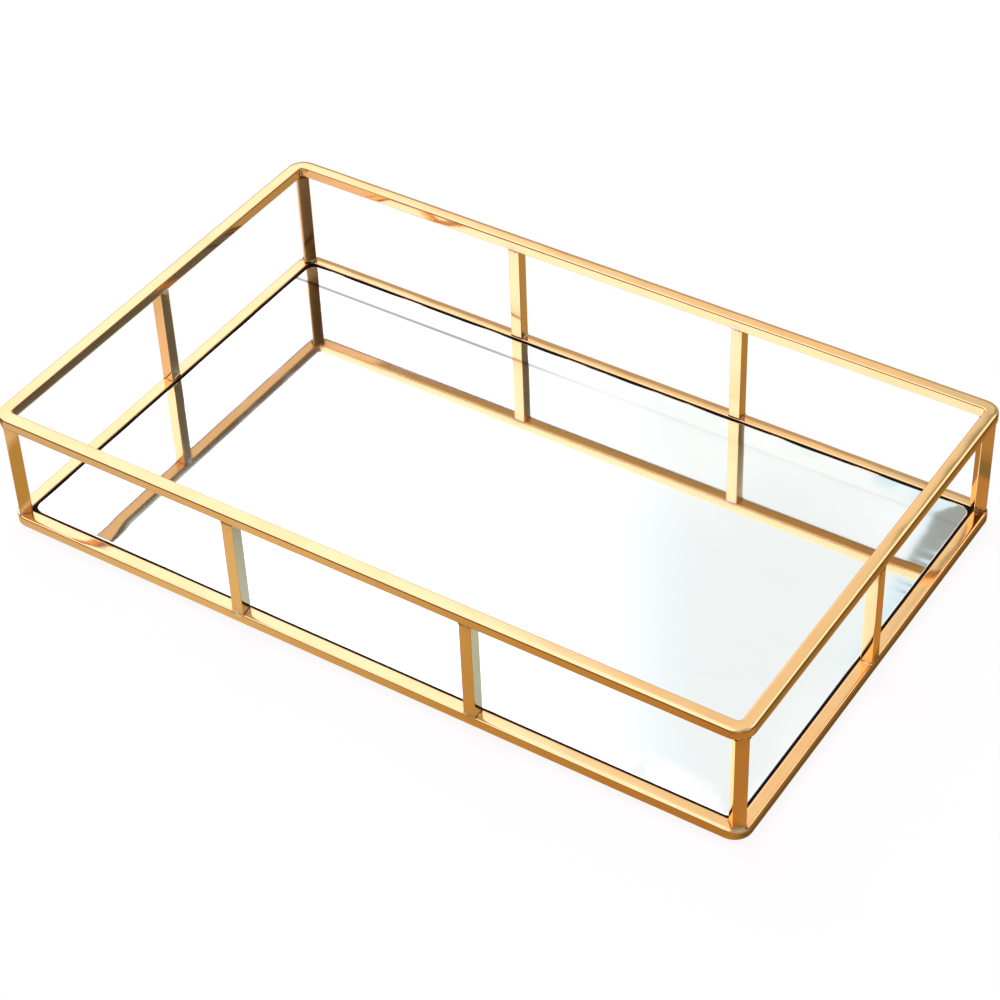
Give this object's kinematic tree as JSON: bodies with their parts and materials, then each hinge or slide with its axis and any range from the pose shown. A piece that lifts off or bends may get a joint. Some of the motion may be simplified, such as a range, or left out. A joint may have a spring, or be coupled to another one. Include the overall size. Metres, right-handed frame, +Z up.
{
  "type": "mirrored vanity tray",
  "caption": "Rectangular mirror-bottomed dresser tray with an open cage of polished gold bars, for perfume bottles and cosmetics.",
  "frame": {"origin": "centre of the footprint, on the surface the foot pads stand on", "axes": "+X along the long side, to the right seen from the front; +Y from the front rail to the back rail; +Z up"},
  "size_m": [0.3, 0.183, 0.0505],
  "materials": {
    "gold_plate": "polished gold electroplate",
    "mirror_glass": "silvered float glass, polished",
    "black_seal": "satin black sealant",
    "backing_card": "dense grey-brown board",
    "black_steel": "thin black paint",
    "flocked_cover": "black flocking, matt",
    "felt_pad": "dark grey pressed felt"
  },
  "bodies": {
    "root": {"upper_rim": "gold_plate", "lower_rim": "gold_plate", "corner_post_front_left": "gold_plate", "corner_post_front_right": "gold_plate", "corner_post_back_left": "gold_plate", "corner_post_back_right": "gold_plate", "mid_post_front_left": "gold_plate", "mid_post_front_right": "gold_plate", "mid_post_back_left": "gold_plate", "mid_post_back_right": "gold_plate", "mid_post_left": "gold_plate", "mid_post_right": "gold_plate", "mirror_panel": "mirror_glass", "mirror_edge_seal": "black_seal", "backing_card": "backing_card", "ledge_strip_front": "black_steel", "ledge_strip_back": "black_steel", "ledge_strip_left": "black_steel", "ledge_strip_right": "black_steel", "base_cover": "flocked_cover", "foot_pad_front_left": "felt_pad", "foot_pad_front_right": "felt_pad", "foot_pad_back_left": "felt_pad", "foot_pad_back_right": "felt_pad"}
  },
  "joints": []
}
